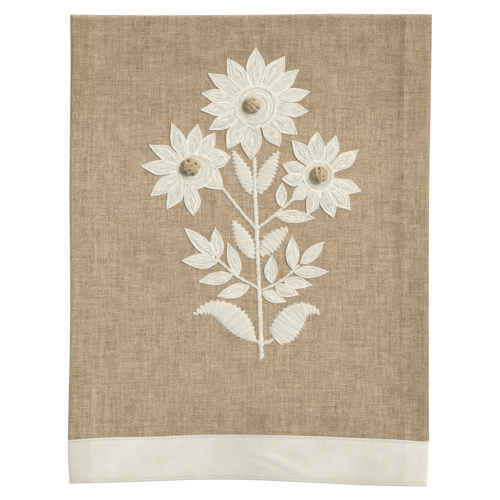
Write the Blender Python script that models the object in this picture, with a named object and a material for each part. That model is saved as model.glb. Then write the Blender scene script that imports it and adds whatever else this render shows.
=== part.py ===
# A tea towel lying flat and face up: a hemmed cloth with its top folded under behind, a white band folded
# round its lower edge, and three yarn knots on its face.
# Metres. X runs across the towel, Y runs up it and Z is up from the surface that it lies on. The origin is
# on that surface, under the middle of the towel.
import math
from collections import namedtuple

import bpy
import numpy as np

# Driving sizes
CLOTH_WIDTH = 0.4200
FACE_LENGTH = 0.5460        # from the top fold to the band's lower edge
TURNED_UNDER = 0.1130       # length of cloth folded behind at the top
BAND_HEIGHT = 0.0530
CLOTH_THICK = 0.0010
BAND_THICK = 0.0010         # one leaf of the folded band
SEAT_GAP = 0.0003           # between pieces that touch
LAYER_GAP = 0.0004          # between the cloth's own two layers
END_HEM = 0.0160            # depth of the hem on the turned-under end
END_HEM_RAISE = 0.0005
END_HEM_RUN = 0.0030        # length over which the end hem thins to one layer
FOLD_REACH = 0.0022         # how far the top fold's outside bulges past its flat layers
FOLD_LOFT = 0.0012          # how much further apart the layers are at the fold
LOFT_RUN = 0.0150           # length over which they come together
STEP_START = 0.0050         # the face stays raised this far past the turned-under end
STEP_RUN = 0.0200           # and comes down to the surface over this length
BAND_RISE_RUN = 0.0160      # length over which the cloth climbs into the band
BAND_LIP = 0.0010           # how far outside the band the cloth reaches its height in it
BAND_POCKET = 0.0015        # from the cloth's lower margin to the band's fold
BAND_EDGE_ROW = 0.0040      # first row of points inside each edge of the band
LONGEST_STEP = 0.0400       # between two rows of points along the towel
ROUND_STEPS = 8             # rows round a fold
SLOPE_STEPS = 5             # rows down a slope
SHARP_ANGLE = math.radians(40)

TOP = FACE_LENGTH / 2
BOTTOM = -FACE_LENGTH / 2
BAND_TOP = BOTTOM + BAND_HEIGHT
TURNED_END = TOP - TURNED_UNDER

# The turned side hems: how much they thicken the cloth, from its edge inwards. Their inner edge is higher.
HemRow = namedtuple("HemRow", "from_edge raise_by")
SIDE_HEM = (
    HemRow(0.0000, 0.00020),
    HemRow(0.0012, 0.00060),
    HemRow(0.0120, 0.00075),
    HemRow(0.0240, 0.00095),
    HemRow(0.0270, 0.00100),
    HemRow(0.0310, 0.00045),
    HemRow(0.0370, 0.00000),
)
FACE_COLUMNS = (0.055, 0.080, 0.115, 0.150, 0.180, 0.210)    # the other columns, also from the edge

# How far the pulled cloth's side edges lie right of a straight edge, at heights up the towel.
SideRow = namedtuple("SideRow", "up left_edge right_edge")
SIDES = (
    SideRow(-0.273, 0.0005, -0.0040),
    SideRow(-0.244, -0.0013, -0.0022),
    SideRow(-0.220, -0.0017, -0.0016),
    SideRow(-0.175, -0.0011, -0.0018),
    SideRow(-0.116, 0.0003, -0.0018),
    SideRow(0.000, 0.0005, -0.0018),
    SideRow(0.058, -0.0001, -0.0015),
    SideRow(0.116, 0.0002, -0.0007),
    SideRow(0.175, 0.0011, 0.0002),
    SideRow(0.221, 0.0014, 0.0010),
    SideRow(0.273, 0.0009, 0.0017),
)

# How far the top fold and the band's two edges lie above straight ones, at places across.
EndRow = namedtuple("EndRow", "across top_fold band_top band_foot")
ENDS = (
    EndRow(-0.207, 0.0008, -0.0006, 0.0014),
    EndRow(-0.175, 0.0005, 0.0016, 0.0021),
    EndRow(-0.116, 0.0002, 0.0029, 0.0038),
    EndRow(-0.058, 0.0004, 0.0051, 0.0058),
    EndRow(0.000, 0.0007, 0.0052, 0.0056),
    EndRow(0.058, 0.0014, 0.0041, 0.0031),
    EndRow(0.093, 0.0019, 0.0029, 0.0015),
    EndRow(0.116, 0.0018, 0.0018, 0.0003),
    EndRow(0.175, 0.0013, -0.0006, -0.0016),
    EndRow(0.204, 0.0014, -0.0028, -0.0018),
)
PULL_REACH = 0.170          # height above the band at which the pull of its edge has died away

# The yarn knots: where they sit, their size and how far they are turned.
KnotRow = namedtuple("KnotRow", "name across up width depth height turn")
KNOTS = (
    KnotRow("flower_knot_top", 0.0021, 0.1680, 0.0205, 0.0190, 0.0085, 0.3),
    KnotRow("flower_knot_left", -0.0690, 0.0965, 0.0250, 0.0208, 0.0090, 2.8),
    KnotRow("flower_knot_right", 0.0817, 0.0878, 0.0212, 0.0200, 0.0085, 2.2),
)
# A knot's outline from its seat to its crown, as shares of its height and its half width.
DomeRow = namedtuple("DomeRow", "height radius")
DOME = (
    DomeRow(0.00, 0.72),
    DomeRow(0.10, 0.88),
    DomeRow(0.28, 0.99),
    DomeRow(0.48, 0.99),
    DomeRow(0.68, 0.86),
    DomeRow(0.85, 0.61),
    DomeRow(0.96, 0.31),
)
KNOT_SIDES = 24
KNOT_TWISTS = 5             # ridges of wound yarn round a knot
TWIST_DEPTH = 0.055         # of the radius
TWIST_LEAN = 2.2            # radians that a ridge turns on its way up

# name: colour, roughness
FINISHES = {
    "beige_cloth": ((0.46, 0.35, 0.23), 0.92),
    "white_band": ((0.74, 0.72, 0.64), 0.88),
    "knot_yarn": ((0.50, 0.39, 0.25), 0.95),
}


def column(table, name):
    return np.array([getattr(row, name) for row in table])


def smooth_curve(table, key, value, at):
    """A smooth curve through two columns of a table: cubic between rows, level beyond its ends."""
    keys = column(table, key)
    values = column(table, value)
    slopes = np.gradient(values, keys)
    at = np.clip(at, keys[0], keys[-1])
    row = np.clip(np.searchsorted(keys, at, side="right") - 1, 0, len(keys) - 2)
    span = keys[row + 1] - keys[row]
    t = (at - keys[row]) / span
    return (
        values[row] * (2 * t**3 - 3 * t**2 + 1)
        + values[row + 1] * (3 * t**2 - 2 * t**3)
        + slopes[row] * span * (t**3 - 2 * t**2 + t)
        + slopes[row + 1] * span * (t**3 - t**2)
    )


def ease(start, end, at):
    """Goes smoothly from 0 at start to 1 at end."""
    t = np.clip((at - start) / (end - start), 0, 1)
    return t * t * (3 - 2 * t)


def pulled(across, up):
    """Where a point of the straight towel lies once its edges are pulled out of true."""
    left = smooth_curve(SIDES, "up", "left_edge", up)
    right = smooth_curve(SIDES, "up", "right_edge", up)
    share = across / CLOTH_WIDTH + 0.5
    top = smooth_curve(ENDS, "across", "top_fold", across)
    band_top = smooth_curve(ENDS, "across", "band_top", across)
    band_foot = smooth_curve(ENDS, "across", "band_foot", across)
    down_band = np.clip((BAND_TOP - up) / BAND_HEIGHT, 0, 1)
    near_band = ease(BAND_TOP + PULL_REACH, BAND_TOP, up)
    near_top = ease(TOP - PULL_REACH, TOP, up)
    shift = near_band * (band_top + (band_foot - band_top) * down_band) + near_top * top
    return across + left * (1 - share) + right * share, up + shift


def side_raise(across):
    """Extra thickness of the side hems."""
    from_edge = CLOTH_WIDTH / 2 - abs(across)
    return np.interp(from_edge, column(SIDE_HEM, "from_edge"), column(SIDE_HEM, "raise_by"))


def turned_thickness(across, up):
    """Thickness of the turned-under layer, with its end hem."""
    inside_hem = TURNED_END + END_HEM
    end = END_HEM_RAISE * (1 - ease(inside_hem, inside_hem + END_HEM_RUN, up))
    return CLOTH_THICK + side_raise(across) + end


def face_underside(across, up):
    """Height of the face's underside: over the turned-under layer, on the surface, then in the band."""
    over = 1 - ease(TURNED_END - STEP_START, TURNED_END - STEP_START - STEP_RUN, up)
    loft = FOLD_LOFT * ease(TOP - FOLD_REACH - LOFT_RUN, TOP - FOLD_REACH, up)
    layer = turned_thickness(across, np.maximum(up, TURNED_END)) + LAYER_GAP + loft
    in_band = ease(BAND_TOP + BAND_RISE_RUN, BAND_TOP + BAND_LIP, up)
    return over * layer + in_band * (BAND_THICK + SEAT_GAP)


def face_top(across, up):
    return face_underside(across, up) + CLOTH_THICK + side_raise(across)


def band_top_height(across):
    """Height of the band's front leaf over the cloth inside it, measured at its underside."""
    return face_top(across, np.full_like(across, BAND_TOP)) + SEAT_GAP


def columns_across():
    from_edge = np.concatenate([column(SIDE_HEM, "from_edge"), FACE_COLUMNS])
    left = from_edge - CLOTH_WIDTH / 2
    return np.concatenate([left, -left[:-1][::-1]])


def rows_between(*stops):
    """Places from stop to stop, no further apart than LONGEST_STEP."""
    places = [stops[0]]
    for start, end in zip(stops, stops[1:]):
        count = max(1, math.ceil(abs(end - start) / LONGEST_STEP))
        places.extend(start + (end - start) * (i + 1) / count for i in range(count))
    return np.array(places)


def slope_rows(start, end, count=SLOPE_STEPS):
    return tuple(start + (end - start) * i / count for i in range(count + 1))


def grid_points(across, up, height):
    """A grid of points, a row for each place along the sheet, in the pulled shape."""
    across, up, height = np.broadcast_arrays(across, up, height)
    x, y = pulled(across, up)
    return np.stack([x, y, height], axis=-1)


def fold_rows(across, turn, reach, low, high, foot):
    """Half an ellipse from the height low to high, bulging by reach from the line foot, at each turn."""
    middle = (low + high) / 2
    half = (high - low) / 2
    return grid_points(across, foot + reach * np.cos(turn), middle + half * np.sin(turn))


def cloth_grids():
    """Outer and inner side of the cloth: turned-under layer, top fold, then down the face."""
    across = columns_across()[None, :]
    fold_foot = TOP - FOLD_REACH
    loft_foot = fold_foot - LOFT_RUN
    hem_edge = TURNED_END + END_HEM
    hem_foot = hem_edge + END_HEM_RUN
    step = TURNED_END - STEP_START
    margin = BOTTOM + BAND_THICK + SEAT_GAP + BAND_POCKET
    behind = rows_between(TURNED_END, hem_edge, hem_foot, loft_foot, fold_foot)[:, None]
    front = rows_between(
        *slope_rows(fold_foot, loft_foot), hem_foot, hem_edge, *slope_rows(step, step - STEP_RUN),
        *slope_rows(BAND_TOP + BAND_RISE_RUN, BAND_TOP + BAND_LIP), margin,
    )[:, None]
    turn = np.linspace(-math.pi / 2, math.pi / 2, ROUND_STEPS + 1)[1:-1, None]
    outer_top = face_top(across, fold_foot)
    inner_low = turned_thickness(across, fold_foot)
    inner_top = face_underside(across, fold_foot)
    outer = np.concatenate([
        grid_points(across, behind, 0.0),
        fold_rows(across, turn, FOLD_REACH, 0.0, outer_top, fold_foot),
        grid_points(across, front, face_top(across, front)),
    ])
    inner = np.concatenate([
        grid_points(across, behind, turned_thickness(across, behind)),
        fold_rows(across, turn, FOLD_REACH - CLOTH_THICK, inner_low, inner_top, fold_foot),
        grid_points(across, front, face_underside(across, front)),
    ])
    return outer, inner


def band_grids():
    """Outer and inner side of the band: down its front leaf, round its fold and up its back leaf."""
    across = columns_across()[None, :]
    low_side = BAND_THICK
    high_side = band_top_height(across)
    reach = (BAND_THICK * 2 + SEAT_GAP * 2 + CLOTH_THICK) / 2
    fold_foot = BOTTOM + reach
    inner_rows = (BAND_TOP - BAND_EDGE_ROW, fold_foot + BAND_EDGE_ROW)
    leaf = rows_between(BAND_TOP, *inner_rows, fold_foot)[:, None]
    turn = np.linspace(math.pi / 2, 3 * math.pi / 2, ROUND_STEPS + 1)[1:-1, None]
    outer = np.concatenate([
        grid_points(across, leaf, high_side + BAND_THICK),
        fold_rows(across, turn, reach, 0.0, high_side + BAND_THICK, fold_foot),
        grid_points(across, leaf[::-1], 0.0),
    ])
    inner = np.concatenate([
        grid_points(across, leaf, high_side),
        fold_rows(across, turn, reach - BAND_THICK, low_side, high_side, fold_foot),
        grid_points(across, leaf[::-1], low_side),
    ])
    return outer, inner


def closed_sheet(outer, inner):
    """Points and quads of one solid between two matching grids. The outer grid faces out."""
    rows, cols = outer.shape[:2]
    index = np.arange(rows * cols).reshape(rows, cols)
    far = index + rows * cols
    quads = [
        np.stack([index[:-1, :-1], index[1:, :-1], index[1:, 1:], index[:-1, 1:]], axis=-1),
        np.stack([far[:-1, :-1], far[:-1, 1:], far[1:, 1:], far[1:, :-1]], axis=-1),
        np.stack([index[:-1, 0], far[:-1, 0], far[1:, 0], index[1:, 0]], axis=-1),
        np.stack([index[:-1, -1], index[1:, -1], far[1:, -1], far[:-1, -1]], axis=-1),
        np.stack([index[0, :-1], index[0, 1:], far[0, 1:], far[0, :-1]], axis=-1),
        np.stack([index[-1, :-1], far[-1, :-1], far[-1, 1:], index[-1, 1:]], axis=-1),
    ]
    points = np.concatenate([outer.reshape(-1, 3), inner.reshape(-1, 3)])
    return points, np.concatenate([q.reshape(-1, 4) for q in quads])


def knot_points(row):
    """A wound dome: rings rippled by slanting ridges of yarn, closed by a seat and a crown."""
    angle = np.linspace(0, 2 * math.pi, KNOT_SIDES, endpoint=False)[None, :]
    height = column(DOME, "height")[:, None]
    ripple = 1 + TWIST_DEPTH * np.cos(KNOT_TWISTS * (angle + TWIST_LEAN * height))
    radius = column(DOME, "radius")[:, None] * ripple / (1 + TWIST_DEPTH)
    x = radius * np.cos(angle) * row.width / 2
    y = radius * np.sin(angle) * row.depth / 2
    seat = face_top(np.array([row.across]), np.array([row.up]))[0] + SEAT_GAP
    centre_x, centre_y = pulled(row.across, row.up)
    rings = np.stack([
        centre_x + x * math.cos(row.turn) - y * math.sin(row.turn),
        centre_y + x * math.sin(row.turn) + y * math.cos(row.turn),
        seat + np.broadcast_to(height, x.shape) * row.height,
    ], axis=-1)
    ends = np.array([[centre_x, centre_y, seat], [centre_x, centre_y, seat + row.height]])
    return np.concatenate([rings.reshape(-1, 3), ends])


def knot_faces():
    rings = len(DOME)
    index = np.arange(rings * KNOT_SIDES).reshape(rings, KNOT_SIDES)
    beside = np.roll(index, -1, axis=1)
    seat = rings * KNOT_SIDES
    crown = seat + 1
    walls = np.stack([index[:-1], beside[:-1], beside[1:], index[1:]], axis=-1).reshape(-1, 4)
    under = [(seat, b, a) for a, b in zip(index[0], beside[0])]
    over = [(crown, a, b) for a, b in zip(index[-1], beside[-1])]
    return walls.tolist() + under + over


def add_finish(name, colour, roughness):
    material = bpy.data.materials.new(name)
    material.use_nodes = True
    shader = material.node_tree.nodes["Principled BSDF"]
    shader.inputs["Base Color"].default_value = (*colour, 1)
    shader.inputs["Roughness"].default_value = roughness
    return material


def add_piece(name, points, faces, material):
    mesh = bpy.data.meshes.new(name)
    mesh.from_pydata(np.asarray(points).tolist(), [], np.asarray(faces, dtype=object).tolist())
    mesh.materials.append(material)
    mesh.shade_smooth()
    mesh.set_sharp_from_angle(angle=SHARP_ANGLE)
    piece = bpy.data.objects.new(name, mesh)
    bpy.context.scene.collection.objects.link(piece)
    return piece


def main():
    for old in list(bpy.data.objects):
        bpy.data.objects.remove(old, do_unlink=True)
    towel = bpy.data.objects.new("tea_towel", None)
    bpy.context.scene.collection.objects.link(towel)
    finishes = {name: add_finish(name, *values) for name, values in FINISHES.items()}
    pieces = [
        add_piece("towel_cloth", *closed_sheet(*cloth_grids()), finishes["beige_cloth"]),
        add_piece("border_band", *closed_sheet(*band_grids()), finishes["white_band"]),
    ]
    for row in KNOTS:
        pieces.append(add_piece(row.name, knot_points(row), knot_faces(), finishes["knot_yarn"]))
    for piece in pieces:
        piece.parent = towel


main()
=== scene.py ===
import math

import bpy
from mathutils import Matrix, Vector
import numpy as np


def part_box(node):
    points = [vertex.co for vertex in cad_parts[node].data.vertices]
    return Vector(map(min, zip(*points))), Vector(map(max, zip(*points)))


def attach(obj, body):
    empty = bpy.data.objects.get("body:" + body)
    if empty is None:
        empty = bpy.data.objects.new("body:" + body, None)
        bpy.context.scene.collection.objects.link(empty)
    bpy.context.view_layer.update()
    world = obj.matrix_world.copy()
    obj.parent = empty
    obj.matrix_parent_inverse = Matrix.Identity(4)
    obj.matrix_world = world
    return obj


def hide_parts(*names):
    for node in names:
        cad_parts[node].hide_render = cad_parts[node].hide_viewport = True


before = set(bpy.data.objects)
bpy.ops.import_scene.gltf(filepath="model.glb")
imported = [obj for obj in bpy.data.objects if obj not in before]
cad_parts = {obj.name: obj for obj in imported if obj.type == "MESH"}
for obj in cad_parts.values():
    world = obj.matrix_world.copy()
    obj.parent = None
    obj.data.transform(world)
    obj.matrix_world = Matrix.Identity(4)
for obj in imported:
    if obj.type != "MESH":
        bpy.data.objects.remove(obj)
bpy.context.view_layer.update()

print("frame loaded:", len(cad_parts), "nodes")

# Metres throughout. x runs across the towel, y up it and z up from the surface that it lies on.
towel = {                       # the same sizes as the solids
    "width": 0.4200,
    "faceLength": 0.5460,       # top fold to the band's lower edge
    "turnedUnder": 0.1130,      # cloth folded behind at the top
    "bandHeight": 0.0530,
    "clothThick": 0.0010,
    "bandThick": 0.0010,        # one leaf of the folded band
    "seatGap": 0.0003,          # between pieces that touch
    "layerGap": 0.0004,         # between the cloth's own two layers
    "endHem": 0.0160,
    "endHemRaise": 0.0005,
    "endHemRun": 0.0030,
    "foldReach": 0.0022,        # bulge of the top fold past its flat layers
    "foldLoft": 0.0012,
    "loftRun": 0.0150,
    "stepStart": 0.0050,        # the face stays raised this far past the turned-under end
    "stepRun": 0.0200,
    "bandRiseRun": 0.0160,
    "bandLip": 0.0010,
    "bandPocket": 0.0015,
    "pullReach": 0.1700,        # height over which the pull of the band dies away
}
top = towel["faceLength"] / 2
bottom = -top
bandTop = bottom + towel["bandHeight"]
turnedEnd = top - towel["turnedUnder"]

sideHem = {                     # thickening by the side hems, from the edge inwards
    "fromEdge": (0.0, 0.0012, 0.012, 0.024, 0.027, 0.031, 0.037),
    "raiseBy": (0.00020, 0.00060, 0.00075, 0.00095, 0.00100, 0.00045, 0.0),
}
sidePull = {                    # how far the side edges lie right of straight ones
    "up": (-0.273, -0.244, -0.220, -0.175, -0.116, 0.0, 0.058, 0.116, 0.175, 0.221, 0.273),
    "left": (0.0005, -0.0013, -0.0017, -0.0011, 0.0003, 0.0005, -0.0001, 0.0002, 0.0011, 0.0014, 0.0009),
    "right": (-0.0040, -0.0022, -0.0016, -0.0018, -0.0018, -0.0018, -0.0015, -0.0007, 0.0002, 0.0010,
              0.0017),
}
endPull = {                     # how far the top fold and the band's edges lie above straight ones
    "across": (-0.207, -0.175, -0.116, -0.058, 0.0, 0.058, 0.093, 0.116, 0.175, 0.204),
    "topFold": (0.0008, 0.0005, 0.0002, 0.0004, 0.0007, 0.0014, 0.0019, 0.0018, 0.0013, 0.0014),
    "bandTop": (-0.0006, 0.0016, 0.0029, 0.0051, 0.0052, 0.0041, 0.0029, 0.0018, -0.0006, -0.0028),
    "bandFoot": (0.0014, 0.0021, 0.0038, 0.0058, 0.0056, 0.0031, 0.0015, 0.0003, -0.0016, -0.0018),
}


def smoothCurve(keys, values, at):
    # cubic through the values at their keys, level beyond the ends
    keys = np.asarray(keys)
    values = np.asarray(values)
    slopes = np.gradient(values, keys)
    at = np.clip(at, keys[0], keys[-1])
    row = np.clip(np.searchsorted(keys, at, side="right") - 1, 0, len(keys) - 2)
    span = keys[row + 1] - keys[row]
    t = (at - keys[row]) / span
    return (
        values[row] * (2 * t**3 - 3 * t**2 + 1)
        + values[row + 1] * (3 * t**2 - 2 * t**3)
        + slopes[row] * span * (t**3 - 2 * t**2 + t)
        + slopes[row + 1] * span * (t**3 - t**2)
    )


def curve(table, keys, values, at):
    return smoothCurve(table[keys], table[values], at)


def ease(start, end, at):
    # 0 at start, 1 at end, level at both
    t = np.clip((at - start) / (end - start), 0, 1)
    return t * t * (3 - 2 * t)


def bump(at, centre, reach):
    # a bell of height 1 round the centre
    return np.exp(-(((at - centre) / reach) ** 2))


def softNoise(x, y, size, seed):
    # seeded random numbers from -1 to 1 on a square lattice of this size, eased from one to the next
    wide, high = 101, 97        # the lattice repeats after so many squares
    draws = np.random.default_rng(seed).uniform(-1, 1, (wide, high))
    gx, gy = x / size, y / size
    i, j = np.floor(gx).astype(int), np.floor(gy).astype(int)
    a, b = ease(0, 1, gx - i), ease(0, 1, gy - j)
    left, right, near, far = i % wide, (i + 1) % wide, j % high, (j + 1) % high
    below = draws[left, near] * (1 - a) + draws[right, near] * a
    above = draws[left, far] * (1 - a) + draws[right, far] * a
    return below * (1 - b) + above * b


def pulled(across, up):
    # where a point of the straight towel lies once its edges are pulled out of true
    left = curve(sidePull, "up", "left", up)
    right = curve(sidePull, "up", "right", up)
    share = across / towel["width"] + 0.5
    topFold = curve(endPull, "across", "topFold", across)
    upper = curve(endPull, "across", "bandTop", across)
    foot = curve(endPull, "across", "bandFoot", across)
    downBand = np.clip((bandTop - up) / towel["bandHeight"], 0, 1)
    nearBand = ease(bandTop + towel["pullReach"], bandTop, up)
    nearTop = ease(top - towel["pullReach"], top, up)
    shift = nearBand * (upper + (foot - upper) * downBand) + nearTop * topFold
    return across + left * (1 - share) + right * share, up + shift


def fromSide(across, up=0.0):
    # distance from the nearer side edge, scaled where the right hem is wider than the left one
    wider = np.where(across > 0, 1.045 + 0.10 * ease(-0.15, top, up), 1.0)
    return (towel["width"] / 2 - abs(across)) / wider


def sideRaise(across, up=0.0):
    return curve(sideHem, "fromEdge", "raiseBy", fromSide(across, up))


def turnedThickness(across, up):
    inside = turnedEnd + towel["endHem"]
    end = towel["endHemRaise"] * (1 - ease(inside, inside + towel["endHemRun"], up))
    return towel["clothThick"] + sideRaise(across, up) + end


def faceUnder(across, up):
    # over the turned-under layer, then on the surface, then up into the band
    over = 1 - ease(turnedEnd - towel["stepStart"], turnedEnd - towel["stepStart"] - towel["stepRun"], up)
    loftEnd = top - towel["foldReach"]
    loft = towel["foldLoft"] * ease(loftEnd - towel["loftRun"], loftEnd, up)
    layer = turnedThickness(across, np.maximum(up, turnedEnd)) + towel["layerGap"] + loft
    inBand = ease(bandTop + towel["bandRiseRun"], bandTop + towel["bandLip"], up)
    return over * layer + inBand * (towel["bandThick"] + towel["seatGap"])


def faceTop(across, up):
    return faceUnder(across, up) + towel["clothThick"] + sideRaise(across, up)


# how the face lies

lie = {
    "rest": 0.00040,            # mean height of the loose face over the surface
    "broad": 0.00032,           # swing of its broad waves, and their size
    "broadSize": 0.062,
    "small": 0.00012,
    "smallSize": 0.019,
    "hemShare": 0.35,           # how much of it the stiffer hems take part in
    "pucker": 0.00022,          # gathers round the embroidery, and their size
    "puckerSize": 0.0105,
    "stitchValley": 0.00016,    # depth of the dent along the hem's stitches
    "stitchLine": 0.0252,       # the stitches' distance from the edge
    "hemLump": 0.00010,
}
creases = {                     # soft ridges and troughs of the face, placed one by one
    "across": (0.090, -0.010, 0.012, -0.021, 0.150, 0.168, -0.120, -0.150, 0.120, -0.028, 0.055, -0.090),
    "up": (0.195, -0.138, -0.165, -0.196, -0.186, 0.030, -0.120, 0.150, -0.090, 0.050, 0.250, 0.230),
    "length": (0.046, 0.030, 0.026, 0.016, 0.022, 0.060, 0.050, 0.055, 0.060, 0.040, 0.026, 0.030),
    "width": (0.010, 0.007, 0.006, 0.007, 0.009, 0.008, 0.011, 0.013, 0.012, 0.007, 0.009, 0.012),
    "height": (0.00045, 0.00042, 0.00036, -0.00040, -0.00036, -0.00040, 0.00036, 0.00030, -0.00030,
               -0.00034, 0.00030, -0.00030),
    "lean": (0.03, -0.62, -0.50, 0.30, 0.25, 0.02, 0.12, -0.08, -0.15, 0.28, 0.70, -0.40),
}
sprayMiddle = (0.002, 0.075)    # the embroidery's middle and reach, for the gathers round it
sprayReach = (0.115, 0.175)


def creaseHeight(across, up, table):
    # each crease is a bell across its line and along it
    height = 0
    for x, y, length, width, high, lean in zip(*table.values()):
        along = (across - x) * math.sin(lean) + (up - y) * math.cos(lean)
        aside = (across - x) * math.cos(lean) - (up - y) * math.sin(lean)
        height = height + high * bump(along, 0, length) * bump(aside, 0, width)
    return height


def lift(across, up):
    # height of the loose face over where it would lie flat; never below it
    fromEdge = towel["width"] / 2 - abs(across)
    loose = lie["hemShare"] + (1 - lie["hemShare"]) * ease(0.020, 0.045, fromEdge)
    loose = loose * ease(top - 0.006, top - 0.030, up) * ease(bandTop + 0.004, bandTop + 0.028, up)
    spray = np.hypot((across - sprayMiddle[0]) / sprayReach[0], (up - sprayMiddle[1]) / sprayReach[1])
    gather = lie["pucker"] * bump(spray, 0.75, 0.42) * softNoise(across, up * 0.6, lie["puckerSize"], 5)
    waves = lie["broad"] * softNoise(across, up * 0.8, lie["broadSize"], 3)
    waves = waves + lie["small"] * softNoise(across, up * 0.7, lie["smallSize"], 4)
    return np.maximum(lie["rest"] + waves + gather + creaseHeight(across, up, creases), 0) * loose


def clothTop(across, up):
    # height of the face's upper side, with the dent along the hem stitches
    fromEdge = fromSide(across, up)
    dent = lie["stitchValley"] * bump(fromEdge, lie["stitchLine"], 0.0010)
    lump = lie["hemLump"] * bump(fromEdge, 0.026, 0.006) * softNoise(up, across, 0.011, 8)
    shown = ease(bandTop + 0.001, bandTop + 0.006, up)
    return faceTop(across, up) + lift(across, up) + (lump - dent) * shown


def onCloth(points, above):
    # flat points on the straight towel carried to where they lie on the face
    across, up = points[..., 0], points[..., 1]
    x, y = pulled(across, up)
    return np.stack([x, y, clothTop(across, up) + above], axis=-1)


# meshes

def makePiece(name, points, quads, triangles, material, uv=None, **attributes):
    mesh = bpy.data.meshes.new(name)
    faces = np.asarray(quads, dtype=np.int64).reshape(-1, 4).tolist()
    faces += np.asarray(triangles, dtype=np.int64).reshape(-1, 3).tolist()
    mesh.from_pydata(np.asarray(points).tolist(), [], faces)
    if uv is not None:
        corner = np.zeros(len(mesh.loops), np.int32)
        mesh.loops.foreach_get("vertex_index", corner)
        mesh.uv_layers.new(name="cloth").data.foreach_set("uv", np.asarray(uv)[corner].ravel())
    for label, values in attributes.items():
        values = np.asarray(values, np.float32)
        kind, field = ("FLOAT", "value") if values.ndim == 1 else ("FLOAT_VECTOR", "vector")
        mesh.attributes.new(label, kind, "POINT").data.foreach_set(field, values.ravel())
    mesh.materials.append(material)
    mesh.shade_smooth()
    piece = bpy.data.objects.new(name, mesh)
    bpy.context.scene.collection.objects.link(piece)
    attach(piece, "root")
    print(name, len(quads) * 2 + len(triangles), "triangles")
    return piece


def closedSheet(outer, inner):
    # quads of one closed skin between two grids whose borders coincide
    rows, cols = outer.shape[:2]
    near = np.arange(rows * cols).reshape(rows, cols)
    inside = np.zeros((rows, cols), bool)
    inside[1:-1, 1:-1] = True
    far = near.copy()
    far[inside] = rows * cols + np.arange(inside.sum())
    points = np.concatenate([outer.reshape(-1, 3), inner[inside]])
    outside = np.stack([near[:-1, :-1], near[1:, :-1], near[1:, 1:], near[:-1, 1:]], axis=-1)
    behind = np.stack([far[:-1, :-1], far[:-1, 1:], far[1:, 1:], far[1:, :-1]], axis=-1)
    return points, np.concatenate([outside.reshape(-1, 4), behind.reshape(-1, 4)]), inside


def roundedSheet(outer, inner, columns, rows):
    # the two sides drawn together at the borders, by the share of thickness that each row and column keeps
    keep = (np.asarray(rows)[:, None] * np.asarray(columns)[None, :])[..., None]
    middle = (outer + inner) / 2
    half = (outer - inner) / 2
    return middle + half * keep, middle - half * keep


def lengthAlong(points):
    # distance walked to each point of a line
    return np.concatenate([[0], np.cumsum(np.linalg.norm(np.diff(points, axis=0), axis=1))])


def unitWays(points):
    # unit heading of a line at each of its points
    way = np.gradient(points, axis=0)
    return way / np.linalg.norm(way, axis=1, keepdims=True)


def unitAt(angle):
    # unit vector, or a row of them, at this angle from the x axis
    return np.stack([np.cos(angle), np.sin(angle)], axis=-1)


def edgeSteps(radius, count=4):
    # distances from an edge, close together at first, and the share of thickness there: a quarter circle
    turn = np.linspace(0, math.pi / 2, count + 1)
    return radius * (1 - np.cos(turn)), np.sin(turn)


def placesBetween(stops, longest):
    # places from stop to stop, no further apart than the longest step
    parts = []
    for start, end in zip(stops, stops[1:]):
        count = max(1, math.ceil(abs(end - start) / longest - 1e-9))
        parts.append(start + (end - start) * np.arange(count) / count)
    return np.concatenate(parts + [[stops[-1]]])


# node helpers

def addNode(tree, kind, inputs=(), **settings):
    node = tree.nodes.new(kind)
    for label, value in settings.items():
        setattr(node, label, value)
    for slot, value in dict(inputs).items():
        if isinstance(value, bpy.types.NodeSocket):
            tree.links.new(value, node.inputs[slot])
        else:
            node.inputs[slot].default_value = value
    return node


def calc(tree, operation, *values):
    return addNode(tree, "ShaderNodeMath", enumerate(values), operation=operation).outputs[0]


def noiseAt(tree, vector, scale=1.0, detail=2.0, roughness=0.5):
    settings = {"Vector": vector, "Scale": scale, "Detail": detail, "Roughness": roughness}
    return addNode(tree, "ShaderNodeTexNoise", settings).outputs[0]


def total(tree, *values):
    result = values[0]
    for value in values[1:]:
        result = calc(tree, "ADD", result, value)
    return result


def joinXYZ(tree, x, y, z=0.0):
    return addNode(tree, "ShaderNodeCombineXYZ", {"X": x, "Y": y, "Z": z}).outputs[0]


def spread(tree, value, low, high, fromLow=0.0, fromHigh=1.0):
    settings = {"Value": value, "From Min": fromLow, "From Max": fromHigh, "To Min": low, "To Max": high}
    return addNode(tree, "ShaderNodeMapRange", settings, clamp=False).outputs[0]


def product(tree, *values):
    result = values[0]
    for value in values[1:]:
        result = calc(tree, "MULTIPLY", result, value)
    return result


def swinging(tree, noise, swing, middle=0.0):
    # noise read as a swing round its middle; it mostly keeps between a quarter and three quarters
    return spread(tree, noise, middle - swing, middle + swing, 0.25, 0.75)


def attributeAt(tree, label, output="Fac"):
    return addNode(tree, "ShaderNodeAttribute", attribute_name=label).outputs[output]


def separated(tree, vector):
    return addNode(tree, "ShaderNodeSeparateXYZ", {0: vector}).outputs


def addRelief(tree, shader, look, height):
    settings = {"Strength": look["bumpStrength"], "Distance": look["bumpHeight"], "Height": height}
    relief = addNode(tree, "ShaderNodeBump", settings)
    tree.links.new(relief.outputs[0], shader.inputs["Normal"])


def paint(tree, shader, tint, shade):
    # the tint times its shade; a darker shade is a warmer one, partly the yarns' own colour drift and partly
    # painted warm bounce light in painted shade, so red swings least and blue most
    change = calc(tree, "SUBTRACT", shade, 1.0)
    swing = [spread(tree, change, 1.0, 1.0 + share) for share in (0.86, 1.0, 1.26)]
    colour = addNode(tree, "ShaderNodeVectorMath", {0: tint, 1: joinXYZ(tree, *swing)}, operation="MULTIPLY")
    tree.links.new(colour.outputs[0], shader.inputs["Base Color"])


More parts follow.
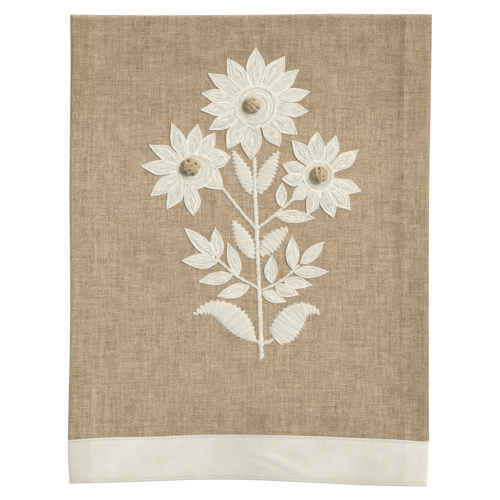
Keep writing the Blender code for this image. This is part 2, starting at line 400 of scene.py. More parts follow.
def newMaterial(name, roughness, sheen):
    material = bpy.data.materials.new(name)
    material.use_nodes = True
    shader = material.node_tree.nodes["Principled BSDF"]
    shader.inputs["Roughness"].default_value = roughness
    shader.inputs["Specular IOR Level"].default_value = 0.25
    shader.inputs["Sheen Weight"].default_value = sheen
    shader.inputs["Sheen Roughness"].default_value = 0.5
    return material, material.node_tree, shader


def weaveMaterial(name, look):
    # plain weave: round threads that pass over and under by turns. Each thread's shade and hue run in long
    # streaks, which neighbours share in part: noise drawn out along the threads, from broad to fine
    material, tree, shader = newMaterial(name, look["roughness"], look["sheen"])
    u, v, _ = separated(tree, addNode(tree, "ShaderNodeUVMap", uv_map="cloth").outputs[0])
    flat = joinXYZ(tree, u, v)
    sway = spread(tree, noiseAt(tree, flat, look["swaysPerMetre"], 1.0), -look["sway"], look["sway"])

    def threadsAlong(place, perMetre):
        # the number of the thread at this place, and its round top as half a cosine
        at = total(tree, product(tree, place, perMetre), sway)
        number = calc(tree, "FLOOR", at)
        into = calc(tree, "SUBTRACT", calc(tree, "SUBTRACT", at, number), 0.5)
        return number, calc(tree, "COSINE", product(tree, into, math.pi))

    warp, warpRound = threadsAlong(u, look["warpsPerMetre"])
    weft, weftRound = threadsAlong(v, look["weftsPerMetre"])
    over = calc(tree, "FLOORED_MODULO", total(tree, warp, weft), 2.0)

    def either(whenWarp, whenWeft):
        change = product(tree, calc(tree, "SUBTRACT", whenWarp, whenWeft), over)
        return total(tree, whenWeft, change)

    def streaks(alongWarp, runs, swing, kinship, detail, roughness, seed):
        # from -swing to swing; kinship is how unlike a thread is to the next, runs the streaks per metre
        thread, along = (warp, v) if alongWarp else (weft, u)
        spot = joinXYZ(tree, product(tree, thread, kinship), product(tree, along, runs), seed)
        return swinging(tree, noiseAt(tree, spot, 1.0, detail, roughness), swing)

    def bothWays(key, seed):
        # 1 plus the streaks of the warp and of the weft
        warpStreaks = streaks(True, *look[key], seed)
        return total(tree, warpStreaks, streaks(False, *look[key], seed + 10.0), 1.0)

    dip = look["dip"]
    height = either(
        product(tree, warpRound, spread(tree, weftRound, dip, 1.0)),
        product(tree, weftRound, spread(tree, warpRound, dip, 1.0)))
    warpShade = total(tree, streaks(True, *look["warpBands"], 0.0), streaks(True, *look["warpSlubs"], 5.0))
    weftShade = total(tree, streaks(False, *look["weftBands"], 9.0), streaks(False, *look["weftSlubs"], 14.0))
    mixed = product(tree, total(tree, warpShade, weftShade), 0.5)
    grain = swinging(tree, noiseAt(tree, flat, look["grainPerMetre"], 1.0), look["grain"])
    drift = swinging(tree, noiseAt(tree, flat, look["driftPerMetre"]), look["drift"])
    # painted shade in the dips where the threads pass under, and a painted highlight on their tops
    threadShading = spread(tree, height, look["gapShade"], 1.06, 0.1, 0.9)
    shade = total(tree, either(warpShade, weftShade), mixed, grain, drift, 1.0)
    hue = joinXYZ(tree, bothWays("redStreaks", 20.0), 1.0, bothWays("blueStreaks", 40.0))
    tint = addNode(tree, "ShaderNodeVectorMath", {0: hue, 1: look["colour"]}, operation="MULTIPLY")
    paint(tree, shader, tint.outputs[0], product(tree, shade, threadShading, attributeAt(tree, "tone")))
    addRelief(tree, shader, look, height)
    return material


def yarnMaterial(name, look):
    # a strand's fibres run along it: noise drawn out lengthwise, from its own across, along and row number
    material, tree, shader = newMaterial(name, look["roughness"], look["sheen"])
    across, along, row = separated(tree, attributeAt(tree, "thread", "Vector"))
    own = product(tree, row, 3.7)               # each strand reads the noise at its own place
    fibrePlace = joinXYZ(
        tree, product(tree, across, look["fibresPerMetre"]), product(tree, along, look["runsPerMetre"]), own)
    fibres = noiseAt(tree, fibrePlace, 1.0, 3.0)
    patches = noiseAt(tree, joinXYZ(tree, product(tree, along, look["patchesPerMetre"]), own))
    shade = product(
        tree, attributeAt(tree, "tone"),
        swinging(tree, fibres, look["fibreShade"], 1.0), swinging(tree, patches, look["patchShade"], 1.0))
    share = spread(tree, patches, 0.0, 1.0, 0.25, 0.75)
    tint = addNode(
        tree, "ShaderNodeMix", {0: share, 6: look["warmer"], 7: look["cooler"]}, data_type="RGBA")
    paint(tree, shader, tint.outputs[2], shade)
    addRelief(tree, shader, look, fibres)
    return material


# the cloth

clothLook = {
    "colour": (0.468, 0.355, 0.231),
    "roughness": 0.92,
    "sheen": 0.05,
    "warpsPerMetre": 1724.0,
    "weftsPerMetre": 1650.0,
    "swaysPerMetre": 45.0,
    "sway": 0.5,                # how far the threads wander, in threads
    "dip": 0.55,                # height left where a thread passes under
    # streaks per metre along a thread, their swing, how unlike the next thread is, noise detail and roughness
    "warpBands": (11.0, 0.22, 0.22, 2.0, 0.95),
    "warpSlubs": (50.0, 0.29, 0.80, 2.0, 0.85),
    "weftBands": (17.0, 0.21, 0.26, 2.0, 0.95),
    "weftSlubs": (70.0, 0.24, 0.80, 2.0, 0.85),
    "redStreaks": (30.0, 0.052, 0.14, 2.0, 0.90),
    "blueStreaks": (30.0, 0.085, 0.14, 2.0, 0.90),
    "grainPerMetre": 760.0,
    "grain": 0.42,
    "driftPerMetre": 50.0,
    "drift": 0.09,
    "gapShade": 0.86,
    "bumpStrength": 0.45,
    "bumpHeight": 0.00018,
}
clothMesh = {
    "edgeRadius": 0.0008,
    "columnStep": 0.0028,
    "rowStep": 0.0028,
    "hiddenRowStep": 0.0060,    # on the turned-under layer
    "foldSteps": 12,
    "hemGroove": 0.00040,       # the hem's inner edge, felt on the underside
    "hemGrooveAt": 0.0272,
    "drawn": 0.0011,            # how far the weave is drawn out of true
}
clothEdgeShading = {                   # painted shade and light by distance from the side edges: darker on the rounded edges and inside the right hem's ridge, lighter on the ridges
    "fromEdge": (0.0, 0.0015, 0.008, 0.020, 0.0268, 0.0285, 0.036, 0.048, 0.070),
    "left": (0.80, 0.90, 0.94, 0.975, 1.03, 1.02, 1.01, 1.00, 1.0),
    "right": (0.80, 0.92, 0.965, 0.975, 1.030, 0.930, 0.925, 0.97, 1.0),
}
heightShading = {                  # and by height up the towel: painted shade over the turned-under top and just above the band, a painted highlight on the top fold's rounding
    "up": (-0.222, -0.212, -0.180, -0.100, 0.0, 0.120, 0.150, 0.162, 0.200, 0.255, 0.2685, 0.2725),
    "shade": (0.87, 0.93, 0.975, 1.01, 1.015, 1.03, 1.01, 0.935, 0.905, 0.890, 0.93, 1.12),
    "rightHem": (0.97, 0.95, 0.855, 0.885, 0.93, 0.95, 0.955, 0.985, 1.015, 1.035, 1.035, 1.0),
}
shadePatches = {                # broad soft patches of painted light and shade, for soft waves of the cloth
    "across": (0.100, -0.120, 0.015, 0.170, -0.050),
    "up": (0.180, 0.190, -0.204, -0.080, 0.195),
    "wide": (0.040, 0.060, 0.095, 0.040, 0.020),
    "high": (0.050, 0.055, 0.011, 0.055, 0.030),
    "change": (0.110, 0.025, -0.110, -0.040, 0.045),
}


# painted shade and light of the cloth: by its edges, by its height and in broad patches
def clothShade(across, up):
    fromEdge = fromSide(across, up)
    left = curve(clothEdgeShading, "fromEdge", "left", fromEdge)
    right = curve(clothEdgeShading, "fromEdge", "right", fromEdge)
    hem = curve(heightShading, "up", "rightHem", up) - 1
    right = right * (1 + hem * ease(0.030, 0.024, fromEdge))
    side = np.where(across < 0, left, right)
    for x, y, wide, high, change in zip(*shadePatches.values()):
        side = side * (1 + change * bump(across, x, wide) * bump(up, y, high))
    return side * curve(heightShading, "up", "shade", up)


def hemColumns(step, keep):
    # distances from the edge, fine at the edge and at the hem's inner edge
    rounding, share = edgeSteps(clothMesh["edgeRadius"])
    finer = (0.0016, 0.0030, 0.0050, 0.0080, 0.0120, 0.0160, 0.0200, 0.0225, 0.0240, 0.0247, 0.0252, 0.0258,
             0.0264, 0.0268, 0.0272, 0.0276, 0.0282, 0.0292, 0.0305, 0.0325, 0.0350, 0.0375)
    if keep:
        finer = finer[::2]
    middle = placesBetween((0.0400, towel["width"] / 2), step)
    fromEdge = np.concatenate([rounding, finer, middle])
    shares = np.concatenate([share, np.ones(len(finer) + len(middle))])
    across = np.concatenate([fromEdge - towel["width"] / 2, (towel["width"] / 2 - fromEdge[:-1])[::-1]])
    return across[None, :], np.concatenate([shares, shares[:-1][::-1]])


def foldRows(across, turn, reach, low, high, foot):
    # half an ellipse from height low to high, bulging by reach from the line foot
    x, y = pulled(across, foot + reach * np.cos(turn))
    z = (low + high) / 2 + (high - low) / 2 * np.sin(turn)
    return np.stack(np.broadcast_arrays(x, y, z), axis=-1)


def flatRows(across, up, height):
    x, y = pulled(*np.broadcast_arrays(across, up))
    return np.stack(np.broadcast_arrays(x, y, height), axis=-1)


def makeSheet(name, sides, across, heights, shares, shadeOf, material, drawn=0.0):
    # the two sides joined into one skin. The weave's own flat place is the distance across, drawn a little
    # out of true, and the length walked along the middle of the sheet
    columnShare, edgeShare = shares
    rowShare = np.ones(len(sides[0]))
    rowShare[:len(edgeShare)] = edgeShare
    rowShare[-len(edgeShare):] = edgeShare[::-1]
    outer, inner = roundedSheet(*sides, columnShare, rowShare)
    points, quads, inside = closedSheet(outer, inner)
    walked = lengthAlong(outer[:, outer.shape[1] // 2])
    flat = np.stack(np.broadcast_arrays(across + towel["width"] / 2, walked[:, None]), axis=-1)
    flat[..., 0] += drawn * softNoise(flat[..., 1], flat[..., 0], 0.09, 11)
    tone = shadeOf(*np.broadcast_arrays(across, heights))
    uv = np.concatenate([flat.reshape(-1, 2), flat[inside]])
    tone = np.concatenate([tone.ravel(), tone[inside]])
    return makePiece(name, points, quads, [], material, uv, tone=tone)


def makeCloth():
    across, columnShare = hemColumns(clothMesh["columnStep"], False)
    foldFoot = top - towel["foldReach"]
    hemEdge = turnedEnd + towel["endHem"]
    hemFoot = hemEdge + towel["endHemRun"]
    margin = bottom + towel["bandThick"] + towel["seatGap"] + towel["bandPocket"]
    rounding, share = edgeSteps(clothMesh["edgeRadius"])
    behind = placesBetween(
        (turnedEnd + 0.0012, turnedEnd + 0.0035, hemEdge, hemEdge + 0.0008, hemEdge + 0.0018, hemFoot,
         foldFoot),
        clothMesh["hiddenRowStep"])
    behind = np.concatenate([turnedEnd + rounding, behind])[:, None]
    front = placesBetween(
        (foldFoot, bandTop + 0.0020, bandTop + 0.0008, bandTop - 0.002), clothMesh["rowStep"])
    front = np.concatenate([front, placesBetween((bandTop - 0.008, margin + 0.004), 0.008)])
    front = np.concatenate([front, (margin + rounding)[::-1]])[:, None]
    turn = np.linspace(-math.pi / 2, math.pi / 2, clothMesh["foldSteps"] + 1)[1:-1, None]
    groove = clothMesh["hemGroove"] * bump(fromSide(across), clothMesh["hemGrooveAt"], 0.0007)
    outerTop = clothTop(across, foldFoot)
    innerTop = faceUnder(across, foldFoot) + lift(across, foldFoot)
    outer = np.concatenate([
        flatRows(across, behind, 0.0),
        foldRows(across, turn, towel["foldReach"], 0.0, outerTop, foldFoot),
        flatRows(across, front, clothTop(across, front)),
    ])
    inner = np.concatenate([
        flatRows(across, behind, turnedThickness(across, behind) - groove),
        foldRows(across, turn, towel["foldReach"] - towel["clothThick"],
                 turnedThickness(across, foldFoot) - groove, innerTop + groove, foldFoot),
        flatRows(across, front, faceUnder(across, front) + lift(across, front) + groove),
    ])
    heights = np.concatenate([behind, np.full_like(turn, top), front])
    piece = makeSheet("woven_cloth", (outer, inner), across, heights, (columnShare, share), clothShade,
                      weaveMaterial("beigeWeave", clothLook), clothMesh["drawn"])
    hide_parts("towel_cloth")
    return piece


# the band

bandLook = {
    "colour": (0.764, 0.7465, 0.670),
    "roughness": 0.9,
    "sheen": 0.05,
    "warpsPerMetre": 2600.0,
    "weftsPerMetre": 2500.0,
    "swaysPerMetre": 45.0,
    "sway": 0.6,
    "dip": 0.55,
    "warpBands": (30.0, 0.020, 0.14, 2.0, 0.6),
    "warpSlubs": (60.0, 0.044, 0.50, 2.0, 0.7),
    "weftBands": (30.0, 0.020, 0.14, 2.0, 0.6),
    "weftSlubs": (70.0, 0.056, 0.50, 2.0, 0.7),
    "redStreaks": (40.0, 0.008, 0.11, 2.0, 0.6),
    "blueStreaks": (40.0, 0.014, 0.11, 2.0, 0.6),
    "grainPerMetre": 500.0,
    "grain": 0.012,
    "driftPerMetre": 22.0,
    "drift": 0.075,
    "gapShade": 0.93,
    "bumpStrength": 0.35,
    "bumpHeight": 0.00012,
}
band = {
    "columnStep": 0.00135,
    "stitchPitch": 0.0041,
    "upperStitch": 0.0031,      # below the upper edge
    "lowerStitch": 0.0036,      # above the lower edge
    "valley": 0.00034,
    "seamShade": 0.16,          # painted shade in the dent at the stitches
    "ridge": 0.00028,
    "wave": 0.00022,            # swing of the front leaf's soft waves, and their size
    "waveSize": 0.034,
    "rest": 0.00025,
}
bandCreases = {                 # soft ridges of the front leaf
    "across": (0.030, 0.050, 0.014, -0.165, -0.105, 0.150, 0.186),
    "up": (-0.2480, -0.2585, -0.2550, -0.250, -0.240, -0.247, -0.258),
    "length": (0.024, 0.019, 0.018, 0.014, 0.016, 0.020, 0.010),
    "width": (0.0040, 0.0036, 0.0040, 0.0060, 0.0050, 0.0070, 0.0050),
    "height": (0.00125, 0.00100, 0.00060, 0.00034, 0.00030, 0.00032, 0.00040),
    "lean": (1.86, 1.92, 1.84, 0.80, 1.20, 2.20, 1.40),
}


def bandLift(across, up):
    # height of the band's front leaf over the cloth in it
    height = band["rest"] + band["wave"] * softNoise(across, up, band["waveSize"], 21)
    height = height + creaseHeight(across, up, bandCreases)
    below, above = bandTop - up, up - bottom
    loose = ease(0, 0.010, below) * ease(0.002, 0.012, above)
    gather = 0.7 + 0.3 * np.cos(2 * math.pi * across / band["stitchPitch"])
    seams = band["ridge"] * (bump(below, 0.0013, 0.0010) + 0.7 * bump(above, 0.0016, 0.0012))
    seams = seams - band["valley"] * gather * (
        bump(below, band["upperStitch"], 0.0008) + bump(above, band["lowerStitch"], 0.0008))
    puff = 0.00012 * (1 - gather) * (bump(below, 0.0056, 0.0022) + bump(above, 0.0062, 0.0022))
    return np.maximum(height, 0) * loose + band["valley"] * 0.6 + seams + puff


bandShading = {                    # painted shade and light along the band, and painted shade down to its folded lower edge
    "across": (-0.209, -0.192, -0.175, -0.12, -0.08, -0.05, -0.02, 0.01, 0.03, 0.06, 0.11, 0.14, 0.165, 0.185,
               0.209),
    "shade": (0.90, 0.918, 0.975, 0.99, 0.97, 0.94, 0.895, 0.875, 0.905, 0.955, 0.95, 0.925, 0.910, 0.97,
              1.02),
    "up": (-0.273, -0.270, -0.2665, -0.262, -0.245, -0.2235, -0.220),
    "down": (0.90, 0.925, 0.955, 0.97, 0.985, 1.01, 1.02),
}


def bandShade(across, up):
    along = curve(bandShading, "across", "shade", across)
    down = curve(bandShading, "up", "down", up)
    gather = 0.5 - 0.5 * np.cos(2 * math.pi * across / band["stitchPitch"])
    upperSeam = bump(bandTop - up, band["upperStitch"], 0.0009)
    seams = upperSeam + 0.7 * bump(up - bottom, band["lowerStitch"], 0.0009)
    # painted shade at the band's lower left end
    leftEnd = 1 - 0.05 * ease(-0.17, -0.21, across) * ease(-0.235, -0.265, up)
    return along * down * leftEnd * (1 - band["seamShade"] * seams * (0.45 + 0.55 * gather))


def bandUnder(across):
    # height of the front leaf's underside where it lies flat
    return faceTop(across, np.full_like(across, bandTop)) + towel["seatGap"]


def bandTopAt(across, up):
    return bandUnder(across) + towel["bandThick"] + bandLift(across, up) - band["valley"] * 0.4


def makeBand():
    across, columnShare = hemColumns(band["columnStep"], True)
    rounding, share = edgeSteps(0.0005)
    low = towel["bandThick"]
    high = bandUnder(across)
    reach = (towel["bandThick"] * 2 + towel["seatGap"] * 2 + towel["clothThick"]) / 2
    foldFoot = bottom + reach
    leaf = placesBetween((bandTop - 0.0009, bandTop - 0.0013, bandTop - 0.0019, bandTop - 0.0024), 0.0030)
    leaf = np.concatenate([leaf, placesBetween((bandTop - 0.0028, bandTop - 0.0046), 0.0004)])
    leaf = np.concatenate([leaf, placesBetween((bandTop - 0.0056, bottom + 0.0064), 0.0026)])
    leaf = np.concatenate([leaf, placesBetween((bottom + 0.0056, foldFoot), 0.0005)])
    leaf = np.concatenate([bandTop - rounding, leaf])[:, None]
    back = placesBetween((foldFoot, bandTop - 0.0040, bandTop - 0.0010), 0.0060)[1:]
    back = np.concatenate([back, (bandTop - rounding)[::-1]])[:, None]
    turn = np.linspace(math.pi / 2, 3 * math.pi / 2, 13)[1:-1, None]
    raised = bandLift(across, leaf) - band["valley"] * 0.4
    footRaise = raised[-1:]
    outer = np.concatenate([
        flatRows(across, leaf, high + towel["bandThick"] + raised),
        foldRows(across, turn, reach, 0.0, high + towel["bandThick"] + footRaise, foldFoot),
        flatRows(across, back, 0.0),
    ])
    inner = np.concatenate([
        flatRows(across, leaf, high + np.maximum(raised, 0)),
        foldRows(across, turn, reach - towel["bandThick"], low, high + np.maximum(footRaise, 0), foldFoot),
        flatRows(across, back, low),
    ])
    heights = np.concatenate([leaf, np.full_like(turn, bottom), back])
    piece = makeSheet("folded_band", (outer, inner), across, heights, (columnShare, share), bandShade,
                      weaveMaterial("whiteWeave", bandLook))
    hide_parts("border_band")
    return piece


# strands of yarn and thread

roundProfile = np.array([(math.cos(t), math.sin(t)) for t in np.arange(6) * math.pi / 3])
chainProfile = np.array([      # two legs of a chain stitch with a groove between them, flat below
    (1.0, -0.1), (0.86, 0.55), (0.46, 1.0), (0.0, 0.72), (-0.46, 1.0), (-0.86, 0.55), (-1.0, -0.1),
    (0.0, -0.75)])
ovalProfile = np.array([(1.0, 0.0), (0.62, 0.80), (-0.62, 0.80), (-1.0, 0.0), (-0.55, -0.7), (0.55, -0.7)])


class StrandPile:
    # strands gathered into one mesh: a closed profile carried along each path, with rounded ends
    def __init__(self, seed):
        self.points, self.quads, self.triangles, self.thread, self.tone = [], [], [], [], []
        self.count = 0
        self.row = 0
        self.rng = np.random.default_rng(seed)

    def add(self, path, halfWidth, halfHeight, profile, tone):
        # the profile stands square to the path, its first axis level and its second upwards
        ahead = unitWays(path)
        side = np.cross(ahead, (0, 0, 1))
        side /= np.maximum(np.linalg.norm(side, axis=1, keepdims=True), 1e-9)
        over = np.cross(side, ahead)
        wide = np.broadcast_to(halfWidth, len(path))[:, None] * profile[:, 0]
        high = np.broadcast_to(halfHeight, len(path))[:, None] * profile[:, 1]
        rings = path[:, None] + side[:, None] * wide[..., None] + over[:, None] * high[..., None]
        reach = abs(wide[[0, -1]]).max(axis=1, keepdims=True) * 0.5
        tips = path[[0, -1]] + ahead[[0, -1]] * reach * np.array([[-1], [1]])
        walked = lengthAlong(path)
        self.addRings(rings, tips, wide, walked, tone)

    def addRings(self, rings, tips, across, walked, tone):
        # rings of points joined one to the next, each end closed on its tip
        rows, cols = rings.shape[:2]
        index = self.count + np.arange(rows * cols).reshape(rows, cols)
        beside = np.roll(index, -1, axis=1)
        self.quads.append(np.stack([index[:-1], index[1:], beside[1:], beside[:-1]], axis=-1).reshape(-1, 4))
        start, end = self.count + rows * cols, self.count + rows * cols + 1
        self.triangles.append(np.stack([np.full(cols, start), index[0], beside[0]], axis=-1))
        self.triangles.append(np.stack([np.full(cols, end), beside[-1], index[-1]], axis=-1))
        thread = np.stack(np.broadcast_arrays(across, walked[:, None], float(self.row)), axis=-1)
        tipThread = np.array([(0, 0, self.row), (0, walked[-1], self.row)])
        self.points += [rings.reshape(-1, 3), tips]
        self.thread += [thread.reshape(-1, 3), tipThread]
        ringTone = np.broadcast_to(tone, rows)
        self.tone.append(np.concatenate([np.repeat(ringTone, cols), ringTone[[0, -1]]]))
        self.count += rows * cols + 2
        self.row += 1

    def piece(self, name, material, slot):
        made = makePiece(
            name, np.concatenate(self.points), np.concatenate(self.quads), np.concatenate(self.triangles),
            material, thread=np.concatenate(self.thread), tone=np.concatenate(self.tone))
        return made


def evenSteps(points, step):
    # a polyline read again at even steps along it
    walked = lengthAlong(points)
    count = max(3, int(round(walked[-1] / step)) + 1)
    at = np.linspace(0, walked[-1], count)
    return np.stack([np.interp(at, walked, points[:, k]) for k in range(points.shape[1])], axis=-1)


def throughPoints(points, count=80):
    # a smooth curve through a few points
    points = np.asarray(points, float)
    keys = lengthAlong(points)
    at = np.linspace(0, keys[-1], count)
    return np.stack([smoothCurve(keys, points[:, k], at) for k in range(points.shape[1])], axis=-1)


crewel = {
    "rowPitch": 0.00160,
    "rowWidth": 0.00190,
    "rowHeight": 0.00125,
    "link": 0.0028,             # length of one chain stitch
    "wander": 0.00042,          # how far a row strays aside
    "seat": 0.00040,            # the rows' middle above the cloth
    "padSeat": 0.00035,         # laid thread under the rows
    "padHalf": 0.00030,
    # painted shade: the laid pad seen between the rows is darker
    "padShadeTone": 0.90,
    "edgeRaise": 0.00036,       # the outline row stands higher
    # painted highlight: the raised outline row is painted lighter than the rows inside it
    "edgeHighlightTone": 1.06,
    "innerTone": 0.962,
    "toneSwing": 0.040,
    "raiseSwing": 0.00016,
    "heave": 0.00026,           # how much a row rises and falls along its way, and its shade with it
    "fleck": 0.075,
    "crown": 0.00045,
}


def chainRow(pile, flatPath, raiseBy, tone, width=1.0, paintedShadowAt=None):
    # one row of chain stitch along a flat path; each link swells from its start and narrows again
    path = evenSteps(flatPath, crewel["link"] / 4)
    at = np.arange(len(path))
    seed = int(pile.rng.integers(1000)) * 0.037
    ahead = unitWays(path)
    aside = np.stack([ahead[:, 1], -ahead[:, 0]], axis=-1)
    walked = at * crewel["link"] / 4
    path = path + aside * (crewel["wander"] * softNoise(walked, walked * 0 + seed, 0.007, 31))[:, None]
    link = np.array([0.80, 0.98, 1.04, 0.94])[at % 4]
    ends = np.minimum(1, 0.50 + 0.50 * np.minimum(at, at[::-1]) / 2.5)
    swell = 1 + 0.20 * softNoise(walked, walked * 0 + seed, 0.0065, 32)
    halfWidth = crewel["rowWidth"] / 2 * width * link * ends * swell
    halfHeight = crewel["rowHeight"] / 2 * np.array([0.80, 1.0, 1.10, 1.0])[at % 4] * ends
    heave = crewel["heave"] * softNoise(walked, walked * 0 + seed, 0.009, 33)
    fleck = crewel["fleck"] * softNoise(walked, walked * 0 + seed, 0.0052, 34)
    # a painted shadow darkens the row where one is given
    if paintedShadowAt is not None:
        fleck = fleck + paintedShadowAt(path)
    place = onCloth(path, crewel["seat"] + raiseBy + heave)
    pile.add(place, halfWidth, halfHeight, chainProfile, tone + fleck)


def rowTone(pile, edge):
    if edge:
        return crewel["edgeHighlightTone"] + pile.rng.normal(0, crewel["toneSwing"] * 0.4)
    return crewel["innerTone"] + pile.rng.normal(0, crewel["toneSwing"])


padTurn = np.linspace(0, 2 * math.pi, 16, endpoint=False)


def laidPad(pile, flatPath, left, right, raiseBy=0.0, tone=crewel["padShadeTone"]):
    # the laid thread that fills a form under its rows: a low oval section that follows the cloth,
    # reaching left and right of the path
    # its darker tone is painted shade seen in the gaps between the rows
    ahead = unitWays(flatPath)
    aside = np.stack([-ahead[:, 1], ahead[:, 0]], axis=-1)
    swing = np.cos(padTurn)
    reach = np.where(swing > 0, np.maximum(left, 0.0003)[:, None], np.maximum(right, 0.0003)[:, None]) * swing
    flat = flatPath[:, None] + aside[:, None] * reach[..., None]
    height = crewel["padSeat"] + raiseBy + crewel["padHalf"] * np.sin(padTurn)
    rings = onCloth(flat, 0.0)
    rings[..., 2] += height
    ends = flatPath[[0, -1]] + ahead[[0, -1]] * np.array([[-0.0003], [0.0003]])
    tips = onCloth(ends, crewel["padSeat"] + raiseBy)
    walked = lengthAlong(flatPath)
    pile.addRings(rings[:, ::-1], tips, reach[:, ::-1], walked, tone)


def leafForm(pile, base, angle, length, leftAt, rightAt, bend):
    # a petal or leaf: rows side by side inside its outline, each a pitch further in, and one down its middle;
    # its spine bends aside by a parabola
    ahead = unitAt(angle)
    aside = np.array([-ahead[1], ahead[0]])

    def place(along, sideways):
        sideways = sideways + bend * (along / length) ** 2
        return base + along[:, None] * ahead + sideways[:, None] * aside

    along = np.linspace(0, length, 70)
    wide = {1: leftAt(along), -1: rightAt(along)}
    widest = max(wide[1].max(), wide[-1].max())
    pad = np.linspace(0.02 * length, 0.94 * length, 14)
    laidPad(pile, place(pad, pad * 0), leftAt(pad) - 0.0007, rightAt(pad) - 0.0007)
    spineEnd = length * 0.55
    for side in (1, -1):
        stretch = np.sqrt(1 + np.gradient(wide[side], along) ** 2)
        for row in range(20):
            reach = wide[side] - (row + 0.5) * crewel["rowPitch"] * stretch
            keep = np.flatnonzero(reach > (0.0003 if row else -1))
            if len(keep) < 8:
                break
            keep = slice(keep[0], keep[-1] + 1)
            raiseBy = crewel["crown"] * (1 - (reach[keep].max() / widest) ** 2)
            raiseBy += crewel["edgeRaise"] if row == 0 else pile.rng.normal(0, crewel["raiseSwing"])
            path = place(along[keep], side * np.maximum(reach[keep], 0.0002))
            chainRow(pile, path, raiseBy, rowTone(pile, row == 0), 1.0 if row else 0.92)
            spineEnd = max(spineEnd, along[keep][-1] * 0.9 if row else 0)
    spine = np.linspace(0, min(spineEnd, length * 0.9), 30)
    chainRow(pile, place(spine, spine * 0), crewel["crown"] + 0.00008, rowTone(pile, False))


# half width as a share of the widest, by share of the way along
calyxForm = {"along": (0, 0.25, 0.50, 0.75, 0.92, 1.0), "share": (1.0, 0.90, 0.68, 0.40, 0.20, 0.10)}
petalForm = {
    "along": (0, 0.22, 0.46, 0.66, 0.84, 0.94, 1.0),
    "share": (0.66, 0.90, 1.0, 0.80, 0.42, 0.19, 0.06),
}
leafShape = {"along": (0, 0.12, 0.42, 0.70, 0.88, 1.0), "share": (0.10, 0.56, 1.0, 0.74, 0.34, 0.05)}


def lanceHalf(form, length, halfWidth):
    # half width of a pointed outline at distances along it
    return lambda along: halfWidth * np.maximum(curve(form, "along", "share", along / length), 0)


def unpulled(x, y):
    px, py = pulled(np.array(x), np.array(y))
    return np.array([2 * x - float(px), 2 * y - float(py)])


flowers = {                     # offsets of the petals' and of the eye's centre from the knot
    "flower_knot_top": {"centre": (0.0023, 0.0030), "eye": (0.0044, -0.0012), "ring": 0.0250, "petals": 14,
                        "reach": 0.0630, "width": 0.0214, "turn": 1.575, "crowd": 0.125, "gap": 0.0,
                        "short": 0.0, "shortAt": 0.0, "calyx": None, "seed": 41},
    "flower_knot_left": {"centre": (-0.0003, -0.0022), "eye": (0.0066, -0.0045), "ring": 0.0212, "petals": 9,
                         "reach": 0.0562, "width": 0.0220, "turn": -0.58, "crowd": 0.0, "gap": 1.88,
                         "short": 0.10, "shortAt": 0.25, "calyx": -0.58, "calyxReach": 0.0385,
                         "calyxHalf": 0.0140, "seed": 42},
    "flower_knot_right": {"centre": (0.0006, -0.0029), "eye": (-0.0016, -0.0022), "ring": 0.0185,
                          "petals": 11, "reach": 0.0530, "width": 0.0214, "turn": 0.14, "crowd": 0.0,
                          "gap": 0.92, "short": 0.19, "shortAt": 3.75, "calyx": None, "seed": 43},
}
eyeLook = {
    "rimRaise": (0.00062, 0.00056, 0.00004),        # the rim's two proud rows, and a sunk one inside them
    # painted highlight on the two proud rows, painted shade on the sunk one
    "rimShading": (1.05, 1.04, 0.90),
    "discTone": 0.955,
    "discSwing": 0.060,
    "slack": 0.00060,
    "shade": 0.30,              # painted shadow beside the knot
    "shadowReach": 0.0075,
    "shadowOffset": (-0.0050, -0.0035),
}


petalLook = {
    "turnSwing": 0.035,         # seeded swings of a petal's heading, reach, width, lean and two halves
    "reachSwing": 0.028,
    "widthSwing": 0.05,
    "leanSwing": 0.02,
    "lopsided": 0.09,
    "bendSwing": 0.0022,
    "underRim": 0.0030,         # how far it starts inside the eye's rim
    "room": 1.03,               # share of its own sector that it may fill
    "blend": 0.0009,            # rounding between its outline and that sector
    "calyxRoom": 2.0,           # radians that the calyx has to itself
    "calyxSkew": 0.22,
    "calyxUnderRim": 0.0050,
}


def flowerCentre(node, part="centre"):
    low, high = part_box(node)
    return unpulled((low.x + high.x) / 2, (low.y + high.y) / 2) + np.array(flowers[node][part])


def petalTurns(flower):
    # each petal's heading and the angle it has to itself: evenly spaced and drawn a little towards the
    # sides, or evenly spaced round all but a gap, which is centred on the turn
    count = flower["petals"]
    if flower["gap"]:
        share = (2 * math.pi - flower["gap"]) / (count - 1)
        first = 1.0 if flower["calyx"] is None else 1.7         # it also fills in beside the calyx
        start = flower["turn"] + flower["gap"] / 2
        return [(start + share * k, share * (1.0 if k else first)) for k in range(count)]
    turns = []
    for k in range(count):
        even = flower["turn"] + 2 * math.pi * k / count
        own = 2 * math.pi / count * (1 - 2 * flower["crowd"] * math.cos(2 * even))
        turns.append((even - flower["crowd"] * math.sin(2 * even), own))
    return turns


def makePetal(pile, centre, start, angle, length, halfWidth, own, form=petalForm, skew=0.0):
    rng = pile.rng
    # the share of the flower that is the petal's own limits it near the eye
    sector = math.tan(own / 2)

    def half(lopsided):
        lance = lanceHalf(form, length, halfWidth * lopsided)

        def halfAt(along):
            room = (start + along) * sector * petalLook["room"] + 0.0004
            blend = petalLook["blend"]
            return -np.log(np.exp(-lance(along) / blend) + np.exp(-room / blend)) * blend
        return halfAt

    lopsided = skew + rng.normal(0, petalLook["lopsided"])
    base = centre + start * unitAt(angle)
    leafForm(pile, base, angle + rng.normal(0, petalLook["leanSwing"]), length, half(1 + lopsided),
             half(1 - lopsided), rng.normal(0, petalLook["bendSwing"]))


